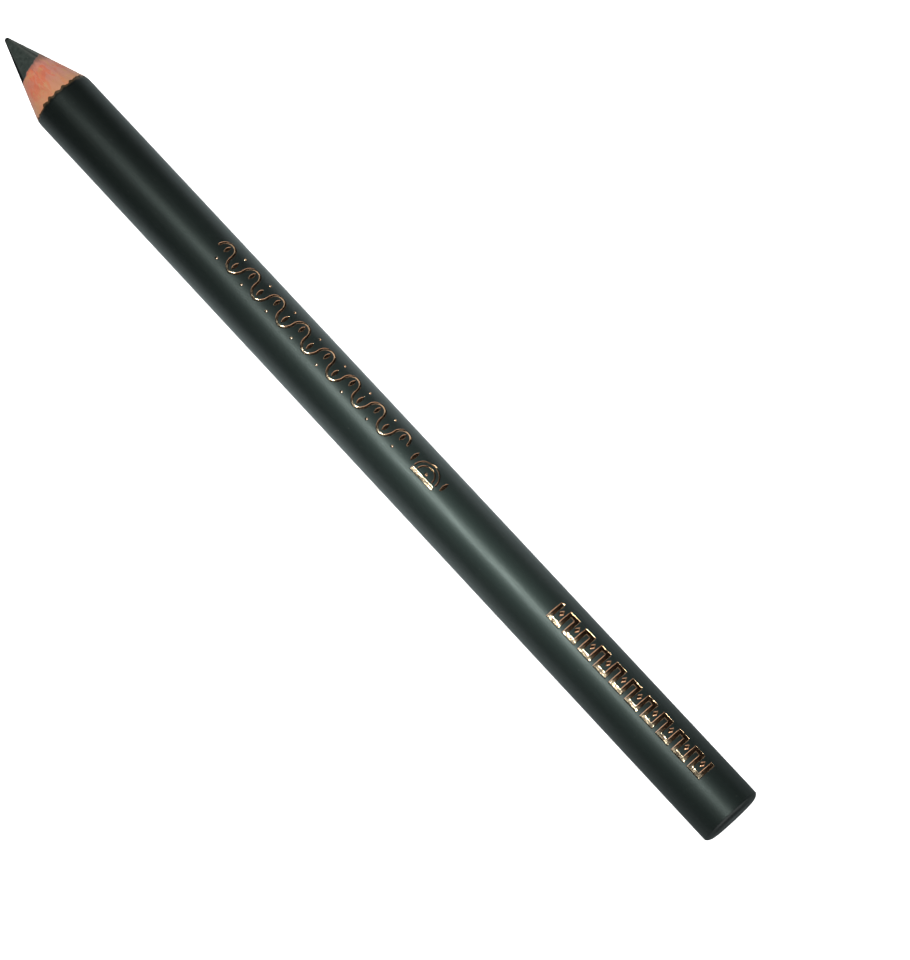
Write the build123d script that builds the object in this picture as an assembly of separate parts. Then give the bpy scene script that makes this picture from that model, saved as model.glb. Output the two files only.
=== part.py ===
from build123d import *
import os
from math import cos, radians, sin, tan

# A sharpened, wood-cased kohl pencil lying on its side. Lengths are in millimetres, angles in degrees.
# The pencil's axis is X and points from the dipped end to the point. Z is up.
# The origin is the centre of the flat end face, so the lowest line of the barrel is at Z = -barrel_radius.

# Overall shape
overall_length = 124.6
barrel_radius = 7.8 / 2
sharpening_half_angle = 19.4
point_radius = 0.33
shoulder_round_radius = 3.0

# Layers, from the axis outwards. The core sits slightly off the casing's axis, towards +Y
core_radius = 4.0 / 2
core_shift = 0.2
glue_thickness = 0.04
primer_thickness = 0.04
lacquer_thickness = 0.08
wood_radius = barrel_radius - lacquer_thickness - primer_thickness
primer_radius = wood_radius + primer_thickness
sleeve_radius = core_radius + glue_thickness

# The joint plane between the two wooden halves leans this far from the vertical, towards +Y
joint_lean = 5.0

# Dipped end
dip_thickness = 0.35
dip_skirt_length = 0.75
end_edge_axial = 0.5
end_edge_radial = 1.2

# Foil stamping: the marks sit in shallow recesses in the lacquer
recess_depth = 0.05
foil_thickness = 0.02
foil_inner_radius = barrel_radius - recess_depth
foil_outer_radius = foil_inner_radius + foil_thickness
stamp_reach = 1.6

# Where each mark sits: its two ends along the axis, and its two edges as arc lengths round the
# barrel from the top line towards -Y
front_band_ends = (87.8, 55.4)
front_band_edges = (0.40, 3.34)
emblem_ends = (54.2, 48.9)
emblem_edges = (0.32, 2.78)
rear_band_ends = (30.5, 5.6)
rear_band_edges = (0.22, 2.72)

# Front band: a thin serpentine line with a leaf and a dot in each bend
front_line_width = 0.25
front_bends = 15
front_leaf_width = 0.42
front_leaf_height = 1.15
front_dot_radius = 0.16

# Rear band: a bold stepped line with a lozenge standing in each wide step
rear_line_width = 0.5
rear_steps = 10
rear_wide_share = 0.58
rear_lozenge_width = 0.55
rear_lozenge_height = 0.95

# Emblem: two arches and a dot over a plain bar, with a leaf at each side
emblem_bar_length = 3.5
emblem_bar_width = 0.45
emblem_line_width = 0.15
emblem_gap = 0.2
emblem_leaf_width = 0.4


def quarter_ellipse(centre, axial_radius, radial_radius):
    """A quarter of an ellipse, from its top round to its -X side."""
    return EllipticalCenterArc(centre, axial_radius, radial_radius, 90, arc_size=90)


def half_ellipse(centre, half_width, rise, way):
    """The upper half of an ellipse where way is +1, the lower half where it is -1."""
    start = 0 if way > 0 else 180
    return EllipticalCenterArc(centre, half_width, rise, start, arc_size=180)


def envelope():
    """The whole pencil's outer shape, turned about X."""
    slope = radians(sharpening_half_angle)
    apex = overall_length + point_radius * (1 / sin(slope) - 1)
    corner = apex - barrel_radius / tan(slope)
    reach = shoulder_round_radius * tan(slope / 2)
    shoulder_start = (corner - reach, barrel_radius)
    shoulder_end = (corner + reach * cos(slope), barrel_radius - reach * sin(slope))
    point_start = (
        overall_length - point_radius + point_radius * sin(slope),
        point_radius * cos(slope),
    )
    flat_radius = barrel_radius - end_edge_radial
    outline = [
        Line((0, 0), (0, flat_radius)),
        quarter_ellipse((end_edge_axial, flat_radius), end_edge_axial, end_edge_radial),
        Line((end_edge_axial, barrel_radius), shoulder_start),
        TangentArc(shoulder_start, shoulder_end, tangent=(1, 0)),
        Line(shoulder_end, point_start),
        TangentArc(point_start, (overall_length, 0), tangent=(cos(slope), -sin(slope))),
        Line((overall_length, 0), (0, 0)),
    ]
    return revolve(make_face(outline), Axis.X)


def rod(radius, start, end, shift=0):
    """A solid round rod along X, with its centre moved towards +Y by shift."""
    base = Plane(origin=(start, shift, 0), z_dir=(1, 0, 0))
    return extrude(base * Circle(radius), end - start)


def tube(inner_radius, outer_radius, start, end):
    """A hollow rod along X."""
    return rod(outer_radius, start, end) - rod(inner_radius, start, end)


def layer(hollow, outer_radius, start):
    """One layer round a hollow, from a given start to the point, trimmed by the sharpening."""
    return (rod(outer_radius, start, overall_length) - hollow) & envelope()


def core_rod(radius):
    """A rod on the core's own centre line, from the dip to the point."""
    return rod(radius, dip_thickness, overall_length, core_shift)


def joint_slab(thickness):
    """A slab in the joint plane, thick across the plane and as long as the pencil."""
    width = 2 * barrel_radius + 1
    slab = Pos(overall_length / 2, 0, 0) * Box(overall_length, thickness, width)
    return Rot(-joint_lean, 0, 0) * slab


def pigment_core():
    return core_rod(core_radius) & envelope()


def slat(side):
    """One grooved wooden half. side is +1 for the +Y half and -1 for the -Y half."""
    wood = layer(core_rod(sleeve_radius), wood_radius, dip_thickness)
    depth = 2 * barrel_radius
    half = Pos(overall_length / 2, side * (depth / 2 + glue_thickness / 2), 0)
    half = half * Box(overall_length + 2, depth, 2 * depth)
    return wood & (Rot(-joint_lean, 0, 0) * half)


def glue_film():
    """The glue round the core and the two thin wings between the wooden halves."""
    core = core_rod(core_radius)
    wings = joint_slab(glue_thickness) & layer(core, wood_radius, dip_thickness)
    sleeve = (core_rod(sleeve_radius) - core) & envelope()
    return wings + sleeve


def primer_coat():
    wood = rod(wood_radius, dip_thickness, overall_length)
    return layer(wood, primer_radius, dip_thickness)


def end_dip():
    """The dipped cap: a rounded end with a short skirt that meets the lacquer."""
    skirt = rod(barrel_radius, 0, dip_skirt_length) & envelope()
    return skirt - rod(primer_radius, dip_thickness, dip_skirt_length)


def leaf(width, height):
    """A pointed oval, standing upright."""
    half = height / 2
    right_side = ThreePointArc((0, -half), (width / 2, 0), (0, half))
    left_side = ThreePointArc((0, half), (-width / 2, 0), (0, -half))
    return make_face([right_side, left_side])


def lozenge(width, height):
    corners = [(width / 2, 0), (0, height / 2), (-width / 2, 0), (0, -height / 2)]
    return make_face(Polyline(*corners, close=True))


def serpentine(length, height, width, bends):
    """A line that swings up and down in half ellipses, drawn as one closed outline."""
    pitch = (length - width) / bends
    rise = (height - width) / 2
    outline = []
    for side in (1, -1):
        for bend in range(bends):
            way = 1 if bend % 2 == 0 else -1
            wider = side * way * width / 2
            centre = (width / 2 + pitch * (bend + 0.5), 0)
            outline.append(half_ellipse(centre, pitch / 2 + wider, rise + wider, way))
    for end in (0, length - width):
        outline.append(Line((end, 0), (end + width, 0)))
    return make_face(outline)


def front_band_marks(length, height):
    """The serpentine line, with a leaf in every bend and a dot at its open side."""
    pitch = (length - front_line_width) / front_bends
    marks = serpentine(length, height, front_line_width, front_bends)
    for bend in range(front_bends):
        way = 1 if bend % 2 == 0 else -1
        along = front_line_width / 2 + pitch * (bend + 0.5)
        leaf_centre = way * (height / 2 - 2 * front_line_width - front_leaf_height / 2)
        dot_centre = -way * (height / 2 - front_dot_radius)
        marks += Pos(along, leaf_centre) * leaf(front_leaf_width, front_leaf_height)
        marks += Pos(along, dot_centre) * Circle(front_dot_radius)
    return marks


def rear_band_marks(length, height):
    """A stepped line, low over the wide steps and high over the narrow ones."""
    pitch = (length - rear_line_width) / (rear_steps - 1 + rear_wide_share)
    wide = pitch * rear_wide_share
    level = (height - rear_line_width) / 2
    marks = []
    for step in range(rear_steps):
        start = rear_line_width / 2 + pitch * step
        low_bar = Rectangle(wide + rear_line_width, rear_line_width)
        upright = Rectangle(rear_line_width, height)
        marks.append(Pos(start + wide / 2, -level) * low_bar)
        marks.append(Pos(start, 0) * upright)
        marks.append(Pos(start + wide, 0) * upright)
        if step < rear_steps - 1:
            high_bar = Rectangle(pitch - wide + rear_line_width, rear_line_width)
            marks.append(Pos(start + (wide + pitch) / 2, level) * high_bar)
    line = Sketch() + marks
    for step in range(rear_steps):
        centre = rear_line_width / 2 + pitch * step + wide / 2
        line += Pos(centre, rear_line_width / 2) * lozenge(
            rear_lozenge_width, rear_lozenge_height
        )
    return line


def arch(outer_radius, width):
    """The upper half of a ring."""
    ring = Circle(outer_radius) - Circle(outer_radius - width)
    return ring & (Pos(0, outer_radius) * Rectangle(4 * outer_radius, 2 * outer_radius))


def emblem_marks(length, height):
    """Two arches and a dot that stand over a plain bar, between two leaves."""
    middle = length / 2
    bar_level = -(height - emblem_bar_width) / 2
    foot = bar_level + emblem_bar_width / 2 + emblem_gap
    big_radius = height / 2 - foot
    small_radius = big_radius - emblem_line_width - 2 * emblem_gap
    leaf_height = 0.8 * big_radius
    marks = Pos(middle, bar_level) * Rectangle(emblem_bar_length, emblem_bar_width)
    marks += Pos(middle, foot) * arch(big_radius, emblem_line_width)
    marks += Pos(middle, foot) * arch(small_radius, emblem_line_width)
    marks += Pos(middle, foot + emblem_gap) * Circle(emblem_gap)
    for end in (emblem_leaf_width / 2, length - emblem_leaf_width / 2):
        marks += Pos(end, foot + leaf_height / 2) * leaf(emblem_leaf_width, leaf_height)
    return marks


def stamp(marks, ends, edges):
    """A prism of a flat mark, standing over its own stretch of the barrel."""
    middle_angle = (edges[0] + edges[1]) / 2 / barrel_radius
    outward = (0, -sin(middle_angle), cos(middle_angle))
    origin = (ends[0], barrel_radius * outward[1], barrel_radius * outward[2])
    face = Plane(origin=origin, x_dir=(-1, 0, 0), z_dir=outward)
    # The mark is drawn flat, so it gets the chord of the arc that it covers
    spread = 2 * barrel_radius * sin((edges[1] - edges[0]) / 2 / barrel_radius)
    drawing = marks(abs(ends[0] - ends[1]), spread)
    return extrude(face * drawing, stamp_reach, both=True)


def foil(prism):
    """The film of foil that lies on the floor of a stamped recess."""
    return prism & tube(foil_inner_radius, foil_outer_radius, 0, overall_length)


def lacquer_coat(prisms):
    primed = rod(primer_radius, dip_skirt_length, overall_length)
    coat = layer(primed, barrel_radius, dip_skirt_length)
    cutting_ring = tube(foil_inner_radius, barrel_radius + 1, 0, overall_length)
    for prism in prisms:
        coat -= prism & cutting_ring
    return coat


def build():
    front = stamp(front_band_marks, front_band_ends, front_band_edges)
    emblem = stamp(emblem_marks, emblem_ends, emblem_edges)
    rear = stamp(rear_band_marks, rear_band_ends, rear_band_edges)
    return {
        "pigment_core": pigment_core(),
        "left_slat": slat(1),
        "right_slat": slat(-1),
        "glue_film": glue_film(),
        "primer_coat": primer_coat(),
        "lacquer_coat": lacquer_coat([front, emblem, rear]),
        "end_dip": end_dip(),
        "foil_front_band": foil(front),
        "foil_emblem": foil(emblem),
        "foil_rear_band": foil(rear),
    }


os.makedirs("parts", exist_ok=True)
for name, shape in build().items():
    export_step(Compound(shape.solids()), os.path.join("parts", name + ".step"))
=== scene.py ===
import math

import bmesh
import bpy
import numpy as np
from mathutils import Matrix, Vector, noise
from mathutils.geometry import delaunay_2d_cdt
from mathutils.kdtree import KDTree


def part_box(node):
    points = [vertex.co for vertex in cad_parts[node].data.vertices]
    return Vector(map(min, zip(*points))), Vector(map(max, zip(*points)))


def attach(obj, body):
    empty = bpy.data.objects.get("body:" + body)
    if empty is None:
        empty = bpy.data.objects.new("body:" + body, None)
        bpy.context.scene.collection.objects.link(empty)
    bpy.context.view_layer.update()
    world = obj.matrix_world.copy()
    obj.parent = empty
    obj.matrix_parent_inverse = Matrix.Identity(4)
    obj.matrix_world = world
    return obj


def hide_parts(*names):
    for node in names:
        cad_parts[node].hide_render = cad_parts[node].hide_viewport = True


# The pencil is drawn in millimetres, in turned coordinates: along (towards the point), radius, and
# turn, an angle in radians that starts at the top line of the barrel and grows towards -Y.

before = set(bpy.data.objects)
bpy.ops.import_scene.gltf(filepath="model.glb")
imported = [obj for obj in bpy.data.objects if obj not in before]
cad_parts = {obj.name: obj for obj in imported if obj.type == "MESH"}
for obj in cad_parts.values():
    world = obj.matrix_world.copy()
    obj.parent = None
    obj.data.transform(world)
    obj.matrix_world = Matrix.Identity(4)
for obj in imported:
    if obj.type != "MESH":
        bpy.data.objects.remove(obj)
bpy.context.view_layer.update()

MM = 0.001
FULL_TURN = 2 * math.pi
# Points closer than this in millimetres count as level with each other
level_tolerance = 0.001


# ---- measures taken from the frame


def node_points(node):
    """A CAD node's vertices in millimetres, one row each."""
    return np.array([vertex.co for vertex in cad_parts[node].data.vertices]) / MM


def node_radii(node, sideways=0.0):
    """How far a CAD node's vertices lie from the axis, or from one moved towards +Y."""
    points = node_points(node)
    return np.hypot(points[:, 1] - sideways, points[:, 2])


def node_turns(node):
    """The turn of every vertex of a CAD node."""
    points = node_points(node)
    return np.arctan2(-points[:, 1], points[:, 2])


def node_start(node):
    """The end of a CAD node that lies nearest the dipped end."""
    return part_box(node)[0].x / MM


def node_end(node):
    """The end of a CAD node that lies nearest the point."""
    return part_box(node)[1].x / MM


def sharpened_cone():
    """The cone's imagined sharp apex, and its slope, from the rim where the core's cone begins."""
    points = node_points("pigment_core")
    radii = node_radii("pigment_core")
    rim = (points[:, 0] > cut_start) & (radii > core_radius / 2)
    steepness, apex = np.polyfit(radii[rim], points[rim, 0], 1)
    return float(apex), float(-1 / steepness)


def joint_plane_turn():
    """Where the upper wing of the glue film reaches the wood's outer face."""
    points = node_points("glue_film")
    radii = node_radii("glue_film")
    upper_rim = (radii > radii.max() - 0.01) & (points[:, 2] > 0)
    return float(node_turns("glue_film")[upper_rim].mean())


pencil_length = node_end("pigment_core")
barrel_radius = float(node_radii("lacquer_coat").max())
primer_radius = float(node_radii("primer_coat").max())
wood_radius = float(node_radii("primer_coat").min())
core_low, core_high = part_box("pigment_core")
core_shift = (core_low.y + core_high.y) / 2 / MM
core_radius = float(node_radii("pigment_core", core_shift).max())
sleeve_radius = float(node_radii("left_slat", core_shift).min())
glue_thickness = sleeve_radius - core_radius
joint_turn = joint_plane_turn()
# The hidden rear ends of the core, casing, glue and undercoat keep this clear of the crisp dip rim
hidden_gap = 0.1
buried_start = node_start("pigment_core") + hidden_gap
skirt_end = node_end("end_dip")
cut_start = node_end("lacquer_coat")
cone_apex, cone_slope = sharpened_cone()
cone_angle = math.atan(cone_slope)
point_radius = (cone_apex - pencil_length) / (1 / math.sin(cone_angle) - 1)

# The rounded shoulder between the barrel and the cone
shoulder_round_radius = 3.0
shoulder_drop = shoulder_round_radius * (1 - math.cos(cone_angle))
shoulder_corner = cone_apex - barrel_radius / cone_slope
shoulder_start = shoulder_corner - shoulder_round_radius * math.tan(cone_angle / 2)


# ---- turned coordinates and edges


def place(along, radius, turn):
    """Turned coordinates as a point (x, y, z) in millimetres."""
    return (along, -radius * math.sin(turn), radius * math.cos(turn))


def cone_at(radius):
    """Where along the axis the sharpened end has this radius, on its cone or rounded shoulder."""
    drop = barrel_radius - radius
    if drop < shoulder_drop:
        return shoulder_start + math.sqrt(2 * shoulder_round_radius * drop - drop**2)
    return cone_apex - radius / cone_slope


def field(point, frequency, seed):
    """Smooth noise between about -1 and 1 at a point in millimetres."""
    return noise.noise(Vector(point) * frequency + Vector((seed, seed * 1.7, -seed)))


def ring_noise(turn, waves, seed):
    """Smooth noise round a ring, with about this many swings in one full turn."""
    reach = waves / FULL_TURN
    return noise.noise(Vector((reach * math.cos(turn), reach * math.sin(turn), seed)))


def shifted_radius(turn, radius):
    """Distance from the casing's axis to a circle drawn round the core's own centre."""
    lean = -core_shift * math.sin(turn)
    return lean + math.sqrt(lean**2 - core_shift**2 + radius**2)


# The ragged cut edges on the cone are drawn by radius. Each is a mean radius with a slow and a quick
# wander, and keeps a little below the barrel's face.
cut_past_wood = 0.045
wood_edge_drop = 0.03
primer_edge_drop = 0.012
primer_spread = 1.25


def core_edge(turn):
    """The uneven line where the core meets the wood on the cone. The blade has dragged pigment over
    the wood, most of all towards +Y."""
    dragged = 0.07 - 0.04 * math.sin(turn)
    slow = 0.10 * ring_noise(turn, 7, 1.3)
    quick = 0.07 * ring_noise(turn, 30, 2.1)
    return shifted_radius(turn, core_radius) + dragged + slow + quick


def sleeve_edge(turn):
    """The line where the glue round the core meets the wood."""
    return core_edge(turn) + glue_thickness * (0.9 + 0.7 * ring_noise(turn, 18, 7.7))


def wood_edge(turn):
    """The ragged line where the wood meets the coats. The cut was made slightly askew."""
    askew = -0.022 * math.sin(turn)
    slow = 0.03 * ring_noise(turn, 14, 3.9)
    quick = 0.085 * ring_noise(turn, 50, 4.4)
    edge = wood_radius + cut_past_wood + askew + slow + quick
    return min(edge, barrel_radius - wood_edge_drop)


def primer_edge(turn):
    """The torn line where the undercoat meets the lacquer."""
    thickness = primer_spread * (primer_radius - wood_radius)
    edge = wood_edge(turn) + thickness * (1.0 + 0.9 * ring_noise(turn, 44, 5.8))
    return min(edge, barrel_radius - primer_edge_drop)


# Behind the cone's edge every coat has its plain radius again after this length, out of sight
hidden_reach = 1.0


# ---- mesh tools

# Mesh points closer than this, in metres, become one. So do points of a flat sheet, in millimetres.
merge_distance = 1e-7


def link_rows(rows, looped):
    """Quads between neighbouring rows of vertex numbers. Doubled corners at a pole are dropped."""
    faces = []
    pairs = list(zip(rows, rows[1:]))
    if looped:
        pairs.append((rows[-1], rows[0]))
    for lower, upper in pairs:
        for here in range(len(lower)):
            after = (here + 1) % len(lower)
            corners = [lower[here], lower[after], upper[after], upper[here]]
            faces.append(list(dict.fromkeys(corners)))
    return faces


def add_ring(points, ring, around, first_turn=0.0):
    """Adds the points of a ring, a function of turn that gives (along, radius). Returns their
    numbers."""
    first = len(points)
    for column in range(around):
        turn = first_turn + FULL_TURN * column / around
        points.append(place(*ring(turn), turn))
    return list(range(first, len(points)))


def turned_solid(rings, around, looped):
    """A closed turned solid from rings. A pole is only a place along the axis."""
    points = []
    rows = []
    for ring in rings:
        if callable(ring):
            rows.append(add_ring(points, ring, around))
        else:
            rows.append([len(points)] * around)
            points.append((ring, 0, 0))
    return points, link_rows(rows, looped)


def ring_series(ring_at, count):
    """Rings at even shares from 0 to 1."""
    return [ring_at(share) for share in np.linspace(0, 1, count)]


def plain_ring(along, radius):
    """A round ring, square to the axis."""
    return lambda turn: (along, radius)


def edge_ring(edge):
    """A ring on the cone, along an edge whose radius is a function of turn."""
    return lambda turn: (cone_at(edge(turn)), edge(turn))


def closed_lines(lines):
    """Closed outlines, each with a value: all points, their values, all sides, and each outline's
    point numbers."""
    points = []
    values = []
    sides = []
    rings = []
    for outline, value in lines:
        first = len(points)
        numbers = list(range(first, first + len(outline)))
        points.extend(Vector(point) for point in outline)
        values.extend([value] * len(outline))
        sides.extend(zip(numbers, numbers[1:] + numbers[:1]))
        rings.append(numbers)
    return points, values, sides, rings


def add_object(name, data):
    """A new object in the scene."""
    made = bpy.data.objects.new(name, data)
    bpy.context.scene.collection.objects.link(made)
    return made


def make_piece(name, node, slot, material, points, faces, sharp_angle=50):
    """A finished piece of the object from points in millimetres, standing for a CAD node."""
    mesh = bpy.data.meshes.new(name)
    mesh.from_pydata([Vector(point) * MM for point in points], [], faces)
    shape = bmesh.new()
    shape.from_mesh(mesh)
    bmesh.ops.remove_doubles(shape, verts=shape.verts, dist=merge_distance)
    bmesh.ops.recalc_face_normals(shape, faces=shape.faces)
    if shape.calc_volume(signed=True) < 0:
        bmesh.ops.reverse_faces(shape, faces=shape.faces)
    shape.to_mesh(mesh)
    shape.free()
    mesh.shade_smooth()
    mesh.set_sharp_from_angle(angle=math.radians(sharp_angle))
    mesh.materials.append(material)
    piece = add_object(name, mesh)
    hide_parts(node)
    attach(piece, "root")
    return piece


# ---- outlines of the stamped marks
# An outline is drawn flat, from the end nearest the point, with its middle line at height 0.
# Each drawing function takes grow, by which the outline is drawn larger on all sides.

front_line_width = 0.25
front_bends = 15
front_leaf = (0.42, 1.15)
front_dot_radius = 0.16
rear_line_width = 0.5
rear_steps = 10
rear_wide_share = 0.58
rear_lozenge = (0.55, 0.95)
emblem_bar = (3.5, 0.45)
emblem_line_width = 0.15
emblem_gap = 0.2
emblem_leaf_width = 0.4
emblem_leaf_rise = 0.8
outline_step = 0.1


def thick_path(path, half_width, overshoot):
    """The outline of a line of even width with square ends, along a path of points."""
    path = np.array(path, float)
    steps = np.diff(path, axis=0)
    steps /= np.linalg.norm(steps, axis=1)[:, None]
    path[0] -= steps[0] * overshoot
    path[-1] += steps[-1] * overshoot
    normals = np.stack([-steps[:, 1], steps[:, 0]], axis=1)
    before = np.vstack([normals[:1], normals])
    after = np.vstack([normals, normals[-1:]])
    mitre = (before + after) / (1 + (before * after).sum(axis=1))[:, None]
    left = path + mitre * half_width
    right = path - mitre * half_width
    return np.vstack([left, right[::-1]])


def split_long(outline):
    """Adds points, so that no side of a closed outline is longer than outline_step."""
    points = []
    for start, end in zip(outline, np.roll(outline, -1, axis=0)):
        parts = max(1, math.ceil(np.linalg.norm(end - start) / outline_step))
        for part in range(parts):
            points.append(start + (end - start) * part / parts)
    return np.array(points)


def dot(centre, radius, grow):
    """A round dot."""
    turns = np.linspace(0, FULL_TURN, 16, endpoint=False)
    ring = np.stack([np.cos(turns), np.sin(turns)], axis=1)
    return np.array(centre) + ring * (radius + grow)


def leaf(centre, size, grow):
    """A pointed oval between two arcs, standing upright."""
    width, height = size
    arc_radius = (height**2 + width**2) / 4 / width
    centre_shift = arc_radius - width / 2
    reach = math.acos(centre_shift / (arc_radius + grow))
    turns = np.linspace(-reach, reach, 13)
    arc = np.stack([np.cos(turns), np.sin(turns)], axis=1) * (arc_radius + grow)
    arc[:, 0] -= centre_shift
    return np.array(centre) + np.vstack([arc, -arc[1:-1]])


def lozenge(centre, size, grow):
    """An upright lozenge. Its inner outlines shrink evenly towards the middle."""
    width, height = size
    side_distance = width * height / 2 / math.hypot(width, height)
    share = (side_distance + grow) / side_distance
    corners = np.array([(width, 0), (0, height), (-width, 0), (0, -height)]) / 2
    return np.array(centre) + corners * share


def bends(length):
    """The middle of every bend of the front band, its half length, and its way: 1 up or -1 down."""
    half_pitch = (length - front_line_width) / front_bends / 2
    for bend in range(front_bends):
        yield front_line_width / 2 + half_pitch * (2 * bend + 1), half_pitch, (-1) ** bend


def serpentine_path(length, height):
    """The middle line of the front band's swinging line."""
    rise = (height - front_line_width) / 2
    path = []
    for middle, half_pitch, way in bends(length):
        first = 1 if path else 0
        for turn in np.linspace(math.pi, 0, 25)[first:]:
            path.append((middle + half_pitch * math.cos(turn), way * rise * math.sin(turn)))
    return path


def front_marks(length, height, grow):
    """The front band: a swinging line with a leaf and a dot in every bend."""
    half_width = front_line_width / 2 + grow
    marks = [thick_path(serpentine_path(length, height), half_width, grow)]
    leaf_height = height / 2 - 2 * front_line_width - front_leaf[1] / 2
    dot_height = height / 2 - front_dot_radius
    for middle, _, way in bends(length):
        marks.append(leaf((middle, way * leaf_height), front_leaf, grow))
        marks.append(dot((middle, -way * dot_height), front_dot_radius, grow))
    return marks


def rear_marks(length, height, grow):
    """The rear band: a bold stepped line with a lozenge in every step."""
    pitch = (length - rear_line_width) / (rear_steps - 1 + rear_wide_share)
    wide = pitch * rear_wide_share
    level = (height - rear_line_width) / 2
    half_width = rear_line_width / 2 + grow
    path = []
    marks = []
    for step in range(rear_steps):
        start = rear_line_width / 2 + pitch * step
        path += [(start, level), (start, -level)]
        path += [(start + wide, -level), (start + wide, level)]
        centre = (start + wide / 2, rear_line_width / 2)
        marks.append(lozenge(centre, rear_lozenge, grow))
    marks.append(thick_path(path, half_width, half_width))
    return marks


def arch_path(centre, radius):
    """A half circle over its centre, from end to end."""
    path = []
    for turn in np.linspace(math.pi, 0, 33):
        path.append((centre[0] + radius * math.cos(turn), centre[1] + radius * math.sin(turn)))
    return path


def emblem_marks(length, height, grow):
    """The emblem: two arches and a dot on a bar, between two leaves."""
    middle = length / 2
    bar_length, bar_width = emblem_bar
    bar_level = -(height - bar_width) / 2
    foot = bar_level + bar_width / 2 + emblem_gap
    big_radius = height / 2 - foot
    small_radius = big_radius - emblem_line_width - 2 * emblem_gap
    bar_path = [(middle - bar_length / 2, bar_level), (middle + bar_length / 2, bar_level)]
    marks = [thick_path(bar_path, bar_width / 2 + grow, grow)]
    for radius in (big_radius, small_radius):
        path = arch_path((middle, foot), radius - emblem_line_width / 2)
        marks.append(thick_path(path, emblem_line_width / 2 + grow, grow))
    marks.append(dot((middle, foot + emblem_gap), emblem_gap, grow))
    leaf_size = (emblem_leaf_width, emblem_leaf_rise * big_radius)
    for end in (emblem_leaf_width / 2, length - emblem_leaf_width / 2):
        marks.append(leaf((end, foot + leaf_size[1] / 2), leaf_size, grow))
    return marks


STAMPS = {
    "foil_front_band": front_marks,
    "foil_emblem": emblem_marks,
    "foil_rear_band": rear_marks,
}


def wrapped_marks(node, grow):
    """The marks of one foil node, laid on the unrolled barrel as (along, arc length from the top).
    Every outline runs counter-clockwise."""
    turns = node_turns(node)
    film_radius = float(node_radii(node).max())
    middle_turn = (turns.max() + turns.min()) / 2
    half_height = film_radius * math.sin((turns.max() - turns.min()) / 2)
    outlines = []
    for outline in STAMPS[node](node_end(node) - node_start(node), 2 * half_height, grow):
        outline = split_long(outline)
        along = node_end(node) - outline[:, 0]
        arc = (middle_turn + np.arcsin(outline[:, 1] / film_radius)) * barrel_radius
        swept = np.sum(along * np.roll(arc, -1) - np.roll(along, -1) * arc)
        flat = np.stack([along, arc], axis=1)
        outlines.append(flat if swept > 0 else flat[::-1])
    return outlines


# The rim of a stamped recess, from the barrel's face down to the floor: how far each line lies
# outside the mark's own outline, and its depth below the barrel's face
recess_depth = barrel_radius - float(node_radii("foil_rear_band").min())
film_thickness = float(np.ptp(node_radii("foil_rear_band")))
RECESS_RIM = [
    (0.05, 0.0),
    (0.02, 0.15 * recess_depth),
    (0.0, 0.55 * recess_depth),
    (-0.012, recess_depth),
]


# ---- the lacquered barrel

barrel_columns = 240
grid_step = 1.0
# Grid points nearer than this to a recess's rim are left out
clear_distance = 0.075
# The stamped panel reaches this far past the marks at both ends
panel_margin = 1.5
panel_start = node_start("foil_rear_band") - panel_margin
panel_end = node_end("foil_front_band") + panel_margin
plain_rings = 24
shoulder_rings = 8
# The fine groove where the dip's skirt ends against the lacquer
seam_depth = 0.008
seam_width = 0.01


def recess_outlines():
    """Every line of every recess rim, with its depth, nearest the face first."""
    lines = []
    for node in STAMPS:
        for grow, depth in RECESS_RIM:
            for outline in wrapped_marks(node, grow):
                lines.append((outline, depth))
    return lines


def grid_points(start, end, rim_points):
    """The unrolled barrel's even grid between two places, clear of the recess rims."""
    tree = KDTree(len(rim_points))
    for number, point in enumerate(rim_points):
        tree.insert((point.x, point.y, 0), number)
    tree.balance()
    arc_step = FULL_TURN * barrel_radius / barrel_columns
    along_rows = round((end - start) / grid_step)
    grid = []
    for row in range(along_rows + 1):
        along = start + (end - start) * row / along_rows
        for column in range(barrel_columns + 1):
            arc = (column - barrel_columns / 2) * arc_step
            if tree.find((along, arc, 0))[2] > clear_distance:
                grid.append(Vector((along, arc)))
    return grid


def border_row(flat, border):
    """The sheet's points on a border, from side to side. The last one closes the round and is left
    out."""
    row = [i for i, point in enumerate(flat) if abs(point.x - border) < level_tolerance]
    row.sort(key=lambda i: flat[i].y)
    return row[:-1]


def stamped_panel(start, end):
    """The stretch of the barrel that holds the recesses, as one triangulated unrolled sheet.
    Returns its points, its faces, and its first and last rows of points."""
    rim_points, depths, sides, rings = closed_lines(recess_outlines())
    floors = [ring for ring in rings if depths[ring[0]] == recess_depth]
    flat = rim_points + grid_points(start, end, rim_points)
    made = delaunay_2d_cdt(flat, sides, floors, 0, merge_distance)
    new_flat, faces, origins, face_origins = made[0], made[2], made[3], made[5]
    sunk = set()
    for face, origin in zip(faces, face_origins):
        if origin:
            sunk.update(face)
    points = []
    for number, point in enumerate(new_flat):
        rim = [old for old in origins[number] if old < len(rim_points)]
        depth = depths[rim[0]] if rim else (recess_depth if number in sunk else 0.0)
        points.append(place(point.x, barrel_radius - depth, point.y / barrel_radius))
    borders = [border_row(new_flat, border) for border in (start, end)]
    return points, [list(face) for face in faces], borders


def shoulder_ring(share):
    """A ring on the rounded shoulder, share 0 at the plain barrel and 1 at the ragged cut edge."""

    def ring(turn):
        radius = barrel_radius - (barrel_radius - primer_edge(turn)) * share**2
        return cone_at(radius), radius

    return ring


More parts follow.
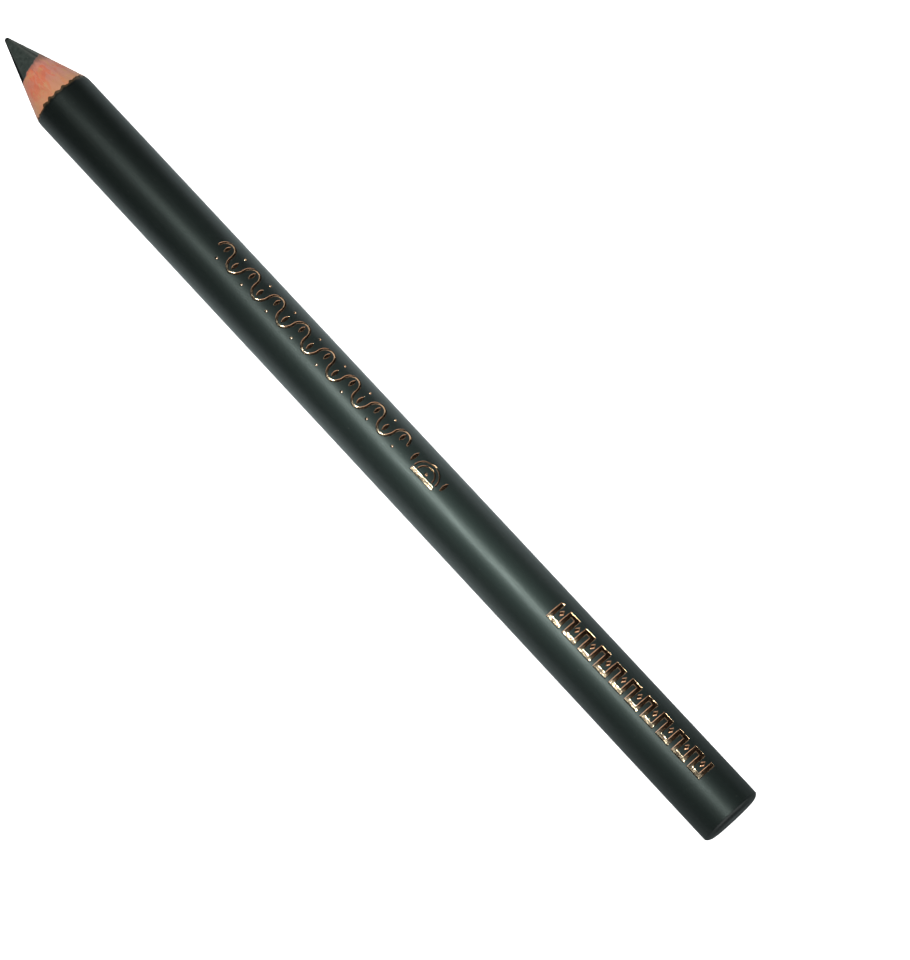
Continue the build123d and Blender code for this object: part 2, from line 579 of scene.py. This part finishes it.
def lacquer_rings():
    """The rings in front of the stamped panel and behind it, ordered from panel to panel."""
    plain_run = np.linspace(panel_end, shoulder_start, plain_rings)[1:-1]
    rings = [plain_ring(along, barrel_radius) for along in plain_run]
    rings += ring_series(shoulder_ring, shoulder_rings)
    rings += [
        plain_ring(cut_start - hidden_reach, primer_radius),
        plain_ring(skirt_end, primer_radius),
        plain_ring(skirt_end, barrel_radius - seam_depth),
        plain_ring(skirt_end + seam_width, barrel_radius),
        plain_ring((skirt_end + panel_start) / 2, barrel_radius),
    ]
    return rings


def lacquer_barrel(material):
    """The lacquer tube: the stamped panel, closed by rings in front, inside and behind."""
    points, faces, (first_row, last_row) = stamped_panel(panel_start, panel_end)
    rows = [last_row]
    for ring in lacquer_rings():
        rows.append(add_ring(points, ring, barrel_columns, -math.pi))
    rows.append(first_row)
    faces += link_rows(rows, False)
    barrel = make_piece("lacquer_barrel", "lacquer_coat", "lacquer", material, points, faces)
    set_round_normals(barrel.data)


def set_round_normals(mesh):
    """Gives the plain round part of the barrel exactly radial normals, so that its shine is even."""
    normals = []
    for corner in mesh.loops:
        at = mesh.vertices[corner.vertex_index].co / MM
        radial = Vector((0, at.y, at.z))
        on_face = abs(radial.length - barrel_radius) < level_tolerance
        plain = on_face and skirt_end < at.x < shoulder_start + level_tolerance
        normals.append(radial.normalized() if plain else Vector())
    mesh.normals_split_custom_set(normals)


# ---- the foil films

# The film's dished profile, from its edge high on the wall to its flat middle: how far each line
# lies outside the mark's own outline, and its height above the middle
DISHED_RIM = [
    (0.010, 0.0300),
    (0.000, 0.0205),
    (-0.016, 0.0105),
    (-0.036, 0.0040),
    (-0.060, 0.0008),
    (-0.085, 0.0),
]

# The drawn film is this share of the CAD film's thickness, so that it clears the recess floor
drawn_film_share = 0.6

# A mark smaller than bead_limit stands up as a bead instead, whose sides are bead_width wide
bead_limit = 1.0
bead_width = 0.12
bead_lines = 6

foil_sharp_angle = 80

# For each band: the size of its dished rim as a share of the profile above, and the slope of its
# beads in degrees, which turns their upper side to the light
FILM_RIMS = {
    "foil_front_band": (1.0, 45),
    "foil_emblem": (0.6, 40),
    "foil_rear_band": (1.25, 46),
}


def dished_rim(node):
    """The dished profile at a band's own size."""
    share = FILM_RIMS[node][0]
    return [(share * grow, share * height) for grow, height in DISHED_RIM]


def bead_rim(node):
    """A bead's profile, steep at its edge and level at its top."""
    slope = math.tan(math.radians(FILM_RIMS[node][1]))
    rim = []
    for share in np.linspace(0, 1, bead_lines):
        height = slope * bead_width * (share - share**4 / 4)
        rim.append((-bead_width * share, height))
    return rim


def film_sheet(outlines, rim):
    """One mark's nested outlines, triangulated flat: points, heights, faces and the edge's points."""
    lines = [(outline, height) for outline, (_, height) in zip(outlines, rim)]
    flat, heights, sides, rings = closed_lines(lines)
    made = delaunay_2d_cdt(flat, sides, rings[:1], 1, merge_distance)
    new_flat, triangles, origins = made[0], made[2], made[3]
    new_heights = [heights[min(origin)] if origin else rim[-1][1] for origin in origins]
    row = {old: number for number, origin in enumerate(origins) for old in origin}
    return new_flat, new_heights, triangles, [row[number] for number in rings[0]]


def foil_marks(node):
    """Every mark of a foil node: its nested outlines, and the rim profile that they follow."""
    marks = []
    for rim, for_beads in ((dished_rim(node), False), (bead_rim(node), True)):
        lines = [wrapped_marks(node, grow) for grow, _ in rim]
        for outlines in zip(*lines):
            is_bead = np.ptp(outlines[0], axis=0).max() < bead_limit
            if is_bead == for_beads:
                marks.append((outlines, rim))
    return marks


def foil_film(name, node, material):
    """A foil node's marks as thin closed films, pressed into the recesses."""
    face_radius = barrel_radius - recess_depth + film_thickness
    under_drop = drawn_film_share * film_thickness
    points = []
    faces = []
    for outlines, rim in foil_marks(node):
        flat, heights, triangles, border = film_sheet(outlines, rim)
        first = len(points)
        for drop in (0.0, under_drop):
            for point, height in zip(flat, heights):
                radius = face_radius + height - drop
                points.append(place(point.x, radius, point.y / barrel_radius))
        under = first + len(flat)
        for triangle in triangles:
            faces.append([first + corner for corner in triangle])
            faces.append([under + corner for corner in reversed(triangle)])
        rows = [[first + corner for corner in border], [under + corner for corner in border]]
        faces += link_rows(rows, False)
    make_piece(name, node, "copper_foil", material, points, faces, foil_sharp_angle)


# ---- the casing under the lacquer

core_columns = 200
core_rings = 100
point_rings = 12
wood_columns = 170
wood_rings = 110
sleeve_columns = 180
primer_columns = 360
# The groove in each wooden half keeps its plain radius up to this far behind the casing's front end
groove_end_drop = 2


def core_relief(along, radius, turn):
    """Height of the core's cut face over the plain cone: soft lumps and fine turned blade marks."""
    at = place(along, radius, turn)
    lumps = 0.022 * field(at, 0.9, 11) + 0.008 * field(at, 3.1, 12)
    blade = math.sin(FULL_TURN * along / 0.31 + turn + 2 * field(at, 0.8, 13))
    return lumps + 0.003 * blade * (1 + field(at, 1.5, 14))


def core_ring(share):
    """A ring on the core's cone, share 0 at the wood's edge and 1 where the rounded point starts."""

    def ring(turn):
        tangent_radius = point_radius * math.cos(cone_angle)
        radius = core_edge(turn) + (tangent_radius - core_edge(turn)) * share
        # The relief is weaker at the wood's edge and fades out where the point starts
        fade = math.sin(math.pi * min(share + 0.08, 1)) ** 0.5
        lift = core_relief(cone_at(radius), radius, turn) * fade
        return cone_at(radius), radius + lift

    return ring


def point_ring(share):
    """A ring on the blunt point, which is worn a little to one side."""

    def ring(turn):
        latitude = cone_angle + (math.pi / 2 - cone_angle) * share
        centre = pencil_length - point_radius
        along = centre + point_radius * math.sin(latitude)
        wear = 0.05 * point_radius * math.sin(math.pi * share) * math.sin(turn + 0.8)
        return along, point_radius * math.cos(latitude) + wear

    return ring


def kohl_core(material):
    """The core: a hidden rod, its shaved cone and its blunt point."""

    def rod_radius(turn):
        return shifted_radius(turn, core_radius)

    rings = [buried_start]
    rings.append(lambda turn: (buried_start, rod_radius(turn)))
    rings.append(lambda turn: (cone_at(core_edge(turn)) - hidden_reach, rod_radius(turn)))
    rings += ring_series(core_ring, core_rings)
    rings += ring_series(point_ring, point_rings)[1:-1]
    rings.append(pencil_length)
    solid = turned_solid(rings, core_columns, False)
    make_piece("kohl_core", "pigment_core", "pigment", material, *solid)


def wood_relief(along, radius, turn):
    """Height of the shaved wood over the plain cone: fibres along the axis, and blade ripples."""
    at = place(along, radius, turn)
    fibre_at = (along * 0.16, at[1], at[2])
    fibres = 0.012 * field(fibre_at, 5.0, 21) + 0.007 * field(fibre_at, 11.0, 22)
    torn = max(0.0, field(fibre_at, 3.0, 23) - 0.35)
    ripple = 0.003 * math.sin(FULL_TURN * along / 0.42 + 3 * field(at, 0.6, 24))
    return fibres - 0.05 * torn + ripple


def joint_margin(radius):
    """Half the angle that the glue in the joint takes up at a radius."""
    return math.asin(glue_thickness / 2 / radius)


def casing_half(name, node, side, material):
    """One wooden half. side is 1 for the half at -Y, where turns are positive, and -1 at +Y. Its
    points are columns round the half, each a closed section from the cone to the rear and back."""

    def turn_at(radius, share):
        margin = joint_margin(radius)
        sweep = margin + (math.pi - 2 * margin) * share
        return joint_turn + side * sweep

    def cone_point(depth, share):
        nominal = sleeve_radius + (wood_radius - sleeve_radius) * depth
        turn = turn_at(nominal, share)
        radius = sleeve_edge(turn) + (wood_edge(turn) - sleeve_edge(turn)) * depth
        fade = min(1, 8 * depth, 8 * (1 - depth))
        return cone_at(radius), radius + wood_relief(cone_at(radius), radius, turn) * fade, turn

    points = []
    columns = []
    for share in np.linspace(0, 1, wood_columns + 1):
        first = len(points)
        for depth in np.linspace(0, 1, wood_rings):
            points.append(place(*cone_point(depth, share)))
        outer_turn = turn_at(wood_radius, share)
        inner_turn = turn_at(sleeve_radius, share)
        inner_radius = shifted_radius(inner_turn, sleeve_radius)
        points.append(place(cut_start - hidden_reach, wood_radius, outer_turn))
        points.append(place(buried_start, wood_radius, outer_turn))
        points.append(place(buried_start, inner_radius, inner_turn))
        points.append(place(node_end(node) - groove_end_drop, inner_radius, inner_turn))
        columns.append(list(range(first, len(points))))
    faces = link_rows(columns, False) + [columns[0], columns[-1]]
    make_piece(name, node, "casing_wood", material, points, faces)


def glue_columns():
    """The glue's cross-section as (turn, wing): the sleeve, and a thin wing at each joint."""
    inner = joint_margin(sleeve_radius)
    outer = joint_margin(wood_radius)
    columns = []
    for centre in (joint_turn, joint_turn + math.pi):
        columns += [(centre - inner, False), (centre - outer, True)]
        columns += [(centre + outer, True), (centre + inner, False)]
        for turn in np.linspace(0, math.pi, sleeve_columns // 2 + 1)[1:-1]:
            columns.append((centre + turn, False))
    return columns


def glue_line(material):
    """The glue: a sleeve round the core, and a wing in the joint on each side."""
    columns = []
    points = []
    for turn, wing in glue_columns():
        back = wood_radius if wing else shifted_radius(turn, sleeve_radius)
        front = wood_edge(turn) if wing else sleeve_edge(turn)
        first = len(points)
        points += [
            place(buried_start, shifted_radius(turn, core_radius), turn),
            place(buried_start, back, turn),
            place(cone_at(front), front, turn),
            place(cone_at(core_edge(turn)), core_edge(turn), turn),
        ]
        columns.append(list(range(first, len(points))))
    make_piece("glue_line", "glue_film", "glue", material, points, link_rows(columns, True))


def undercoat(material):
    """The undercoat: a thin tube between the wood and the lacquer, torn at its front edge."""
    rings = [
        edge_ring(wood_edge),
        edge_ring(primer_edge),
        plain_ring(cut_start - hidden_reach, primer_radius),
        plain_ring(buried_start, primer_radius),
        plain_ring(buried_start, wood_radius),
        plain_ring(cut_start - hidden_reach, wood_radius),
    ]
    solid = turned_solid(rings, primer_columns, True)
    make_piece("undercoat", "primer_coat", "primer", material, *solid)


# ---- the dipped end

# The end face is flat to this radius. Beyond it, a domed edge sweeps back to the skirt's crisp rim.
flat_face_radius = 2.7
middle_depth = 0.014
edge_depth = 0.5
edge_sweep = math.radians(72)
rim_round = 0.05
skirt_ease = 0.003
face_rings = 30
edge_rings = 17
skirt_rings = 9


def dip_face_ring(share):
    """A ring on the end face, which has dried with faint ripples and a shallow middle."""
    radius = flat_face_radius * share

    def ring(turn):
        at = place(0, radius, turn)
        ripple = 0.012 * (1 + field(at, 0.9, 31)) + 0.004 * field(at, 2.5, 32)
        return ripple * (1 - share**4), radius

    return ring


def dip_edge_ring(share):
    """A ring on the domed edge between the end face and the skirt's crisp rim."""
    bend = edge_sweep * share
    rise = barrel_radius - skirt_ease - rim_round - flat_face_radius
    radius = flat_face_radius + rise * math.sin(bend) / math.sin(edge_sweep)
    along = (edge_depth - rim_round) * (1 - math.cos(bend)) / (1 - math.cos(edge_sweep))
    return plain_ring(along, radius)


def skirt_ring(share):
    """A ring on the skirt, which eases outwards from the rounded edge to the barrel."""
    along = edge_depth + (skirt_end - seam_width - edge_depth) * share
    return plain_ring(along, barrel_radius - skirt_ease * (1 - share) ** 2)


def dipped_end(material):
    """The dip: the end face, the domed edge, the skirt and the hollow that holds the pencil's end."""
    rings = [middle_depth]
    rings += ring_series(dip_face_ring, face_rings)[1:-1]
    rings += ring_series(dip_edge_ring, edge_rings)
    rings += ring_series(skirt_ring, skirt_rings)
    rings += [
        plain_ring(skirt_end, barrel_radius - seam_depth),
        plain_ring(skirt_end, primer_radius),
        plain_ring(buried_start, primer_radius),
        buried_start,
    ]
    solid = turned_solid(rings, barrel_columns, False)
    make_piece("dipped_end", "end_dip", "lacquer", material, *solid)


# ---- shader tools


def fill_input(tree, socket, value):
    """Sets a shader input to a value, or links it to another node's output."""
    if isinstance(value, bpy.types.NodeSocket):
        tree.links.new(value, socket)
    else:
        socket.default_value = value


def node(tree, kind, inputs=None, **settings):
    """Adds a shader node."""
    made = tree.nodes.new("ShaderNode" + kind)
    for key, value in settings.items():
        setattr(made, key, value)
    for key, value in (inputs or {}).items():
        fill_input(tree, made.inputs[key], value)
    return made


def calc(tree, operation, first, second=0.0):
    """A sum of two values or outputs, or another operation on them."""
    return node(tree, "Math", {0: first, 1: second}, operation=operation).outputs[0]


def remap(tree, value, low, high, new_low, new_high):
    """A smooth step of value from low to high, between two new values."""
    ends = {"From Min": low, "From Max": high, "To Min": new_low, "To Max": new_high}
    inputs = {"Value": value, **ends}
    return node(tree, "MapRange", inputs, interpolation_type="SMOOTHSTEP").outputs[0]


def scaled(tree, value, factor, added):
    """value * factor + added."""
    inputs = {0: value, 1: factor, 2: added}
    return node(tree, "Math", inputs, operation="MULTIPLY_ADD").outputs[0]


def mix_colour(tree, factor, first, second):
    """The first colour at factor 0 and the second at factor 1."""
    if not isinstance(first, bpy.types.NodeSocket):
        first = (*first, 1)
    if not isinstance(second, bpy.types.NodeSocket):
        second = (*second, 1)
    return node(tree, "Mix", {0: factor, 6: first, 7: second}, data_type="RGBA").outputs[2]


def tinted(tree, colour, *tints):
    """A colour with tints mixed in, one after another. A tint is (value, low, high, share, tint
    colour): its share is 0 where the value is at low and full where it is at high."""
    for value, low, high, share, tint in tints:
        colour = mix_colour(tree, remap(tree, value, low, high, 0.0, share), colour, tint)
    return colour


def millimetres(tree, stretch=(1, 1, 1)):
    """The object's own coordinates in millimetres, stretched along each axis."""
    place_in = node(tree, "TexCoord").outputs["Object"]
    scale = tuple(1 / MM * share for share in stretch)
    made = node(tree, "VectorMath", {0: place_in, 1: scale}, operation="MULTIPLY")
    return made.outputs[0]


def grain(tree, coordinates, frequency, detail=3.0, roughness=0.55, twist=0.0):
    """Noise between about 0 and 1, with this many swings per millimetre."""
    shape = {"Detail": detail, "Roughness": roughness, "Distortion": twist}
    inputs = {"Vector": coordinates, "Scale": frequency, **shape}
    return node(tree, "TexNoise", inputs).outputs["Fac"]


def axis_distance(tree):
    """Distance from the pencil's axis, and the two parts across it, in millimetres."""
    flat = millimetres(tree, (0, 1, 1))
    split = node(tree, "SeparateXYZ", {0: flat})
    radius = node(tree, "VectorMath", {0: flat}, operation="LENGTH").outputs["Value"]
    return radius, split.outputs[1], split.outputs[2]


def bump(tree, height, distance, strength=1.0, under=None):
    """A bump normal. distance is the height's full swing in millimetres."""
    inputs = {"Height": height, "Distance": distance * MM, "Strength": strength}
    if under is not None:
        inputs["Normal"] = under
    return node(tree, "Bump", inputs).outputs[0]


def new_material(name):
    """A material, its node tree and its main shader node."""
    material = bpy.data.materials.new(name)
    material.use_nodes = True
    tree = material.node_tree
    return material, tree, tree.nodes["Principled BSDF"]


def connect(tree, shader, **inputs):
    """Fills a shader's inputs. An input's name has _ in place of its spaces."""
    for key, value in inputs.items():
        fill_input(tree, shader.inputs[key.replace("_", " ")], value)


# ---- materials

lacquer_tint = (0.80, 1.0, 0.96, 1.0)


def lacquer_material():
    """Satin near-black lacquer with a green tint. It was drawn on lengthwise, so its lower layer
    spreads the light round the barrel, under a smoother top layer with a few dust specks."""
    material, tree, shader = new_material("lacquer")
    at = millimetres(tree)
    streaks = grain(tree, millimetres(tree, (0.05, 1, 1)), 2.6)
    cloud = grain(tree, at, 0.35)
    colour = mix_colour(tree, cloud, (0.0005, 0.0008, 0.0007), (0.0008, 0.0012, 0.0011))
    specks = grain(tree, at, 5.0, 1.0)
    colour = tinted(tree, colour, (specks, 0.77, 0.80, 1.0, (0.05, 0.055, 0.05)))
    radius = axis_distance(tree)[0]
    torn = scaled(tree, grain(tree, at, 2.4), 0.06, radius)
    thin = remap(tree, torn, barrel_radius - 0.02, barrel_radius + 0.022, 1.0, 0.0)
    forward = node(tree, "SeparateXYZ", {0: at}).outputs[0]
    thin = calc(tree, "MULTIPLY", thin, calc(tree, "GREATER_THAN", forward, shoulder_start))
    colour = mix_colour(tree, thin, colour, (0.060, 0.034, 0.013))
    rough = remap(tree, streaks, 0.3, 0.7, 0.37, 0.42)
    peel = bump(tree, grain(tree, at, 1.6, 2.0), 0.005)
    fine = bump(tree, grain(tree, at, 9.0, 2.0), 0.0012, 1.0, peel)
    around = node(tree, "Tangent", direction_type="RADIAL", axis="X").outputs[0]
    connect(tree, shader, Base_Color=colour, Roughness=0.53, Normal=fine, IOR=1.42)
    connect(tree, shader, Anisotropic=0.8, Tangent=around, Specular_Tint=lacquer_tint)
    connect(tree, shader, Coat_Weight=1.0, Coat_Roughness=rough, Coat_IOR=1.45)
    connect(tree, shader, Coat_Normal=fine)
    return material


def foil_material():
    """Bright copper foil, with a slightly crinkled face and thin spots where the film is worn. A
    painted highlight makes it paler along its low edge, nearest the barrel's top line, where the key
    light shines."""
    material, tree, shader = new_material("copper_foil")
    at = millimetres(tree)
    wear = grain(tree, at, 4.0, 4.0, 0.65)
    across = node(tree, "SeparateXYZ", {0: at}).outputs[1]
    colour = mix_colour(tree, grain(tree, at, 1.1), (1.0, 0.60, 0.38), (0.95, 0.50, 0.28))
    colour = tinted(
        tree,
        colour,
        # Painted highlight: the foil is paler on its side nearest the barrel's top line, where the key
        # light's shine falls.
        (across, -1.2, -0.6, 0.7, (1.0, 0.74, 0.56)),
        (wear, 0.62, 0.72, 0.7, (0.10, 0.05, 0.03)),
    )
    rough = remap(tree, grain(tree, at, 6.0, 3.0), 0.3, 0.7, 0.15, 0.23)
    dents = bump(tree, grain(tree, at, 1.3, 1.0), 0.05)
    crinkle = bump(tree, grain(tree, at, 5.0, 2.0), 0.006, 1.0, dents)
    connect(tree, shader, Base_Color=colour, Metallic=1.0, Roughness=rough, Normal=crinkle)
    return material


def wood_material():
    """Freshly cut salmon-coloured wood: growth bands, fibres, pores and pigment smears, with a painted
    sheen that turns it paler at its grazing edges.
    """
    material, tree, shader = new_material("casing_wood")
    radius, across, up = axis_distance(tree)
    fibre_at = millimetres(tree, (0.13, 1, 1))
    blotch = grain(tree, millimetres(tree, (0.6, 1, 1)), 0.9, 2.0, 0.5, 0.5)
    patch = grain(tree, millimetres(tree, (0.7, 1, 1)), 1.2, 2.0, 0.5, 0.4)
    fibres = grain(tree, fibre_at, 4.2, 4.0, 0.65)
    threads = grain(tree, fibre_at, 13.0, 3.0, 0.6)
    pith = scaled(tree, across, 0.8, calc(tree, "MULTIPLY", up, 0.55))
    waver = calc(tree, "MULTIPLY", grain(tree, fibre_at, 0.8), 3.0)
    bands = calc(tree, "SINE", scaled(tree, pith, 5.2, waver))
    painted_edge_sheen = node(tree, "LayerWeight", {"Blend": 0.5}).outputs["Facing"]
    side = remap(tree, across, -2.4, 1.8, 0.0, 1.0)
    colour = mix_colour(tree, side, (0.41, 0.175, 0.135), (0.46, 0.155, 0.092))
    reach = scaled(tree, fibres, 0.5, radius)
    colour = tinted(
        tree,
        colour,
        (blotch, 0.48, 0.61, 0.8, (0.475, 0.112, 0.053)),
        (patch, 0.50, 0.64, 0.7, (0.42, 0.205, 0.088)),
        (bands, 0.1, 1.0, 0.25, (0.30, 0.085, 0.055)),
        (radius, wood_radius - 0.9, wood_radius, 0.5, (0.43, 0.225, 0.105)),
        # Painted sheen: where the wood is seen at a grazing angle it is made paler, as if it caught the
        # white floor.
        (painted_edge_sheen, 0.55, 1.0, 0.6, (0.52, 0.38, 0.31)),
        (fibres, 0.52, 0.75, 0.35, (0.50, 0.23, 0.14)),
        (threads, 0.60, 0.78, 0.55, (0.19, 0.06, 0.03)),
        (reach, core_radius + 0.62, core_radius + 0.22, 0.75, (0.10, 0.060, 0.052)),
    )
    lift = bump(tree, fibres, 0.03)
    fine = bump(tree, threads, 0.012, 1.0, lift)
    connect(tree, shader, Base_Color=colour, Roughness=0.62, Normal=fine)
    return material


def core_material():
    """Grey-green waxy pigment, burnished darker at the blunt point. A painted shade makes the cone
    darker along its side towards +Y, and a painted highlight makes its side towards -Y paler; a
    blackish streak crosses that paler side."""
    material, tree, shader = new_material("pigment")
    at = millimetres(tree)
    radius, across, _ = axis_distance(tree)
    mottle = grain(tree, at, 2.2, 4.0, 0.6)
    streak = grain(tree, millimetres(tree, (0.2, 1, 1)), 5.0)
    slant = calc(tree, "DIVIDE", across, radius)
    off_seam = calc(tree, "ABSOLUTE", calc(tree, "ADD", slant, 0.66))
    seam = remap(tree, off_seam, 0.12, 0.03, 0.0, 0.7)
    seam = calc(tree, "MULTIPLY", seam, remap(tree, radius, 0.5, 1.1, 0.0, 1.0))
    # Painted shade: the cone's side towards +Y is made darker, and it loses some of its shine.
    painted_shade_flank = remap(tree, slant, 0.70, 0.82, 0.0, 1.0)
    worn = remap(tree, radius, point_radius * 0.8, point_radius * 1.5, 1.0, 0.0)
    worn_point_and_painted_shade = calc(tree, "MAXIMUM", painted_shade_flank, worn)
    colour = mix_colour(tree, mottle, (0.008, 0.013, 0.011), (0.042, 0.053, 0.046))
    colour = tinted(
        tree,
        colour,
        (streak, 0.55, 0.75, 0.6, (0.055, 0.065, 0.058)),
        # Painted highlight: the cone's side towards -Y is made paler, as if lit.
        (slant, -0.25, -0.75, 0.7, (0.085, 0.092, 0.080)),
    )
    colour = mix_colour(tree, seam, colour, (0.010, 0.014, 0.012))
    # The worn point and the painted shade both turn near black here.
    colour = mix_colour(tree, worn_point_and_painted_shade, colour, (0.004, 0.005, 0.005))
    rough = remap(tree, mottle, 0.3, 0.7, 0.42, 0.6)
    lumps = bump(tree, mottle, 0.02)
    connect(tree, shader, Base_Color=colour, Roughness=rough, Normal=lumps)
    # The worn point and the painted shade also shine less.
    connect(tree, shader, Specular_IOR_Level=scaled(tree, worn_point_and_painted_shade, -0.48, 0.5))
    return material


def glue_material():
    """Dried glue, pale in the joint and stained where it touches the pigment."""
    material, tree, shader = new_material("glue")
    radius = axis_distance(tree)[0]
    patch = grain(tree, millimetres(tree), 3.0)
    colour = mix_colour(tree, patch, (0.50, 0.28, 0.17), (0.40, 0.17, 0.09))
    stain = (radius, core_radius + 1.2, core_radius + 0.2, 0.9, (0.13, 0.075, 0.07))
    colour = tinted(tree, colour, stain)
    lumps = bump(tree, grain(tree, millimetres(tree), 6.0), 0.01)
    connect(tree, shader, Base_Color=colour, Roughness=0.5, Normal=lumps)
    return material


def primer_material():
    """Brown undercoat, torn by the blade, which shows as a thin line between wood and lacquer."""
    material, tree, shader = new_material("primer")
    patch = grain(tree, millimetres(tree), 2.5, 4.0, 0.65)
    colour = mix_colour(tree, patch, (0.026, 0.014, 0.005), (0.062, 0.033, 0.011))
    grit = bump(tree, grain(tree, millimetres(tree), 9.0), 0.01)
    connect(tree, shader, Base_Color=colour, Roughness=0.6, Normal=grit)
    return material


def floor_material():
    """White paper, overexposed to the eye. The pencil mirrors it as a painted pool of light that fades
    towards both ends, with a painted shade past the dipped end."""
    material, tree, shader = new_material("floor")
    tooth = grain(tree, millimetres(tree), 0.8, 4.0)
    paper = mix_colour(tree, tooth, (0.86, 0.865, 0.865), (0.89, 0.895, 0.895))
    along = node(tree, "SeparateXYZ", {0: millimetres(tree)}).outputs[0]
    off_pool = calc(tree, "DIVIDE", calc(tree, "SUBTRACT", along, pool_centre), pool_reach)
    off_square = calc(tree, "POWER", off_pool, 2.0)
    bell = calc(tree, "EXPONENT", calc(tree, "MULTIPLY", off_square, -1.0))
    pool = scaled(tree, bell, pool_gain, pool_floor)
    # Painted shade: the mirrored pool is dimmer past the dipped end.
    pool = calc(tree, "MULTIPLY", pool, remap(tree, along, -1.0, 1.5, painted_end_shade_share, 1.0))
    rays = node(tree, "LightPath")
    dimmed = mix_colour(tree, pool, (0.0, 0.0, 0.0), mirrored_paper)
    colour = mix_colour(tree, rays.outputs["Is Glossy Ray"], paper, dimmed)
    relief = bump(tree, tooth, 0.01)
    glow = calc(tree, "MULTIPLY", rays.outputs["Is Camera Ray"], 0.8)
    connect(tree, shader, Base_Color=colour, Roughness=0.9, Normal=relief)
    connect(tree, shader, Emission_Color=(1, 1, 1, 1), Emission_Strength=glow)
    connect(tree, shader, Specular_IOR_Level=0.1)
    return material


# ---- stage, light and camera

# The floor is in metres, and every other length and place here is in millimetres
floor_half_size = 3.0
floor_cells = 8

# The painted pool of light that the pencil mirrors from the floor: its strength far away, what its
# middle adds to that, and the share of both that is left past the dipped end, where it is a painted
# shade
pool_centre = 70
pool_reach = 55
pool_floor = 0.05
pool_gain = 0.66
painted_end_shade_share = 0.75
mirrored_paper = (0.76, 0.88, 0.88)

key_place = (80, 0, 250)
key_radius = 32
key_power = 0.43
key_colour = (0.84, 1.0, 0.93)
sun_place = (0, 0, 1000)
sun_strength = 3.6
sun_spread = math.radians(40)
fill_strength = 0.28
wall_strength = 1.15
room_strength = 1.2

# The camera hangs over the pencil's axis, past the dipped end. It aims at a place on the axis plane,
# and the picture is turned by an angle in degrees.
camera_height = 391.0
camera_past_end = 20.9
aim_place = (49.5, -3.15)
picture_turn = 42.57
lens_length = 131.12


def lay_floor(material):
    """A square sheet under the pencil, level with the barrel's lowest line."""
    shape = bmesh.new()
    cells = {"x_segments": floor_cells, "y_segments": floor_cells}
    bmesh.ops.create_grid(shape, size=floor_half_size, **cells)
    bmesh.ops.translate(shape, verts=shape.verts, vec=(0, 0, -barrel_radius * MM))
    mesh = bpy.data.meshes.new("floor")
    shape.to_mesh(mesh)
    shape.free()
    mesh.materials.append(material)
    add_object("floor", mesh)


def hang_light(name, kind, at, **settings):
    """A light that points straight down. at is in millimetres."""
    data = bpy.data.lights.new(name, kind)
    for key, value in settings.items():
        setattr(data, key, value)
    light = add_object(name, data)
    light.location = Vector(at) * MM
    return light


def light_the_stage():
    """A small soft key light that gives the line of shine, and an even light for everything else."""
    size = 2 * key_radius * MM
    key = hang_light("key", "AREA", key_place, energy=key_power, shape="DISK", size=size)
    key.data.color = key_colour
    key.visible_diffuse = False
    key.visible_camera = False
    sun = hang_light("sun", "SUN", sun_place, energy=sun_strength, angle=sun_spread)
    sun.visible_glossy = False


def surround():
    """A white room for the eye and a dim one for reflections, with a paler wall past the dipped end."""
    world = bpy.data.worlds.new("surround")
    bpy.context.scene.world = world
    world.use_nodes = True
    tree = world.node_tree
    rays = node(tree, "LightPath")
    direction = node(tree, "SeparateXYZ", {0: node(tree, "TexCoord").outputs["Generated"]})
    along, height = direction.outputs[0], direction.outputs[2]
    wall = remap(tree, along, -0.7, -0.35, wall_strength, 0.0)
    sky = remap(tree, height, -0.1, 1.0, 0.004, 0.015)
    shine = calc(tree, "ADD", sky, wall)
    strength = calc(tree, "MULTIPLY", rays.outputs["Is Glossy Ray"], shine)
    strength = scaled(tree, rays.outputs["Is Camera Ray"], room_strength, strength)
    strength = scaled(tree, rays.outputs["Is Diffuse Ray"], fill_strength, strength)
    connect(tree, tree.nodes["Background"], Color=(1, 1, 1, 1), Strength=strength)
    world.cycles.sampling_method = "NONE"


def set_camera():
    """The camera stands above the table, past the dipped end, and looks back along the pencil."""
    data = bpy.data.cameras.new("camera")
    data.lens = lens_length
    data.clip_start = 0.01
    data.clip_end = 20.0
    camera = add_object("camera", data)
    stand = Vector((-camera_past_end, 0, camera_height)) * MM
    back = (stand - Vector((*aim_place, 0)) * MM).normalized()
    turn = math.radians(picture_turn)
    upward = Vector((math.cos(turn), -math.sin(turn), 0))
    right = upward.cross(back).normalized()
    axes = Matrix((right, back.cross(right), back)).transposed().to_4x4()
    camera.matrix_world = Matrix.Translation(stand) @ axes
    bpy.context.scene.camera = camera


# ---- assembly

lacquer = lacquer_material()
wood = wood_material()
foil = foil_material()

lacquer_barrel(lacquer)
dipped_end(lacquer)
undercoat(primer_material())
casing_half("left_casing", "left_slat", -1, wood)
casing_half("right_casing", "right_slat", 1, wood)
glue_line(glue_material())
kohl_core(core_material())
foil_film("front_ornament", "foil_front_band", foil)
foil_film("emblem_ornament", "foil_emblem", foil)
foil_film("rear_ornament", "foil_rear_band", foil)

lay_floor(floor_material())
light_the_stage()
surround()
set_camera()
bpy.context.scene.view_settings.view_transform = "Standard"
